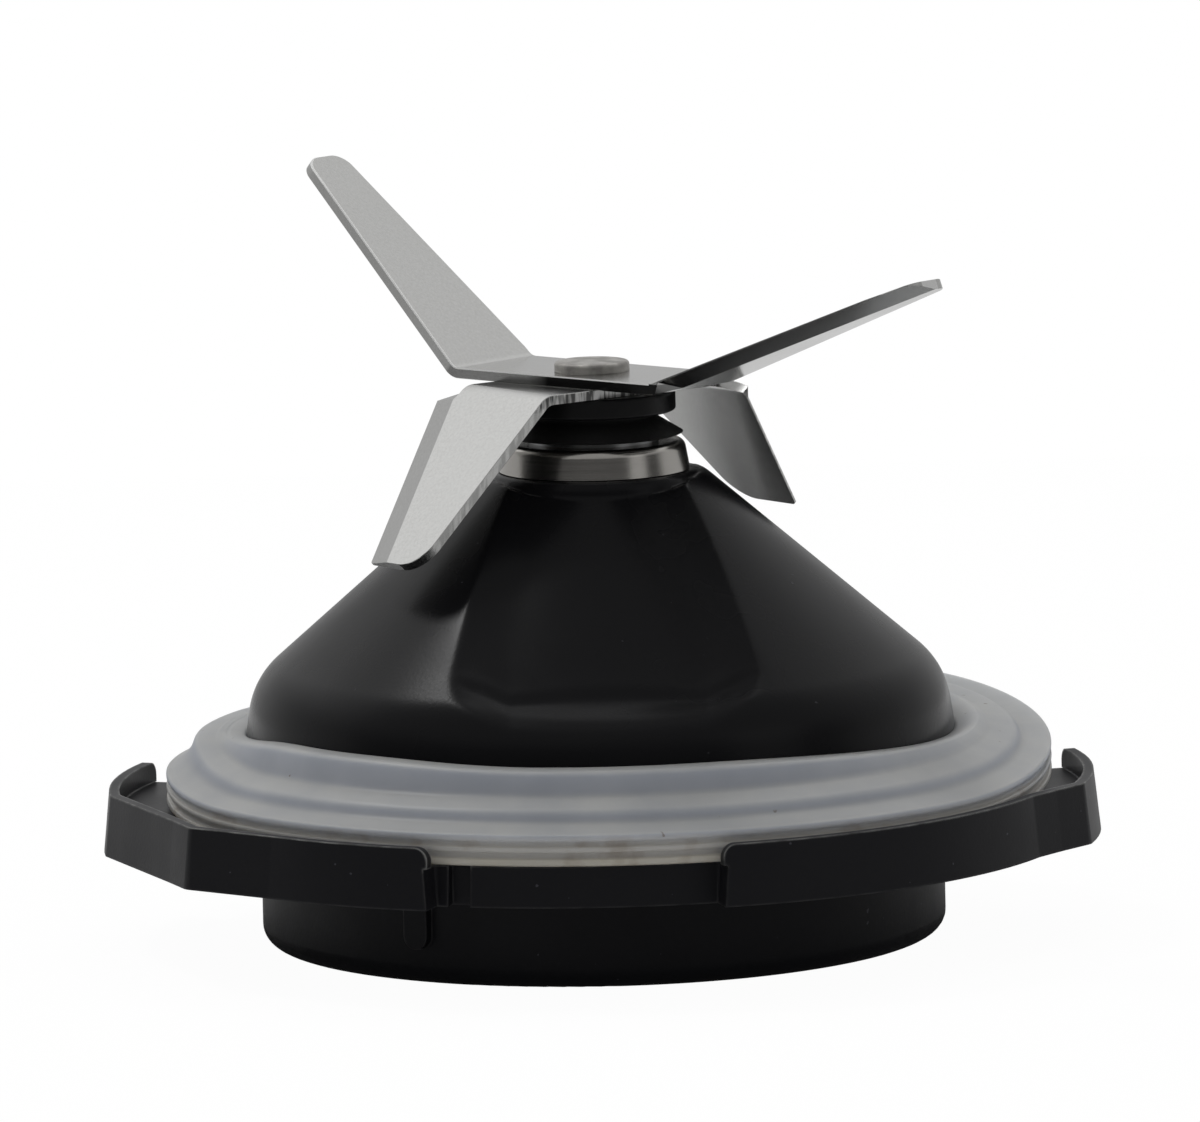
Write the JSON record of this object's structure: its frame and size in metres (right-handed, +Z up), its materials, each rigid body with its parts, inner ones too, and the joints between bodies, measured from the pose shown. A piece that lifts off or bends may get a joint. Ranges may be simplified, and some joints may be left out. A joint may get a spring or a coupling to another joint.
{
  "type": "blender blade assembly",
  "caption": "Blender jar bottom: bent steel blades on a sealed shaft above a black fluted cone, with a stepped silicone gasket, a locking ring with grip tabs and a drive coupling below.",
  "frame": {"origin": "on the turning axis, in the plane of the skirt's foot", "axes": "+Z up along the turning axis, -Y to the front, where the locking ring's wall is open"},
  "size_m": [0.1014, 0.0945, 0.0775],
  "materials": {
    "base_plastic": "fine satin moulding",
    "cone_plastic": "satin gloss moulding",
    "silicone": "translucent smoky silicone",
    "black_rubber": "matt",
    "black_washer": "satin",
    "turned_metal": "bright turned",
    "zinc_steel": "zinc plated",
    "bronze": "sintered",
    "felt": "felt",
    "shaft_steel": "turned",
    "blade_steel": "fine brushed, ground edges"
  },
  "bodies": {
    "base": {"locking_base": "base_plastic", "base_seal": "black_rubber", "base_screws": "zinc_steel", "cone_housing": "cone_plastic", "jar_gasket": "silicone", "bearing_housing": "turned_metal", "housing_gasket": "black_rubber", "housing_washer": "zinc_steel", "housing_nut": "zinc_steel", "shaft_seal": "black_rubber", "upper_bush": "bronze", "oil_felt": "felt", "lower_bush": "bronze", "end_washer": "zinc_steel", "thrust_washer": "zinc_steel"},
    "rotor": {"blade_shaft": "shaft_steel", "retaining_clip": "zinc_steel", "lip_seal": "black_rubber", "blade_spacer": "black_washer", "lower_blade": "blade_steel", "upper_blade": "blade_steel", "coupling_hub": "bronze", "drive_coupling": "base_plastic"}
  },
  "joints": [
    {"name": "blade_spin", "type": "hinge", "parent": "base", "child": "rotor", "pos_m": [0, 0, 0.05], "axis": [0, 0, 1], "continuous": true}
  ]
}
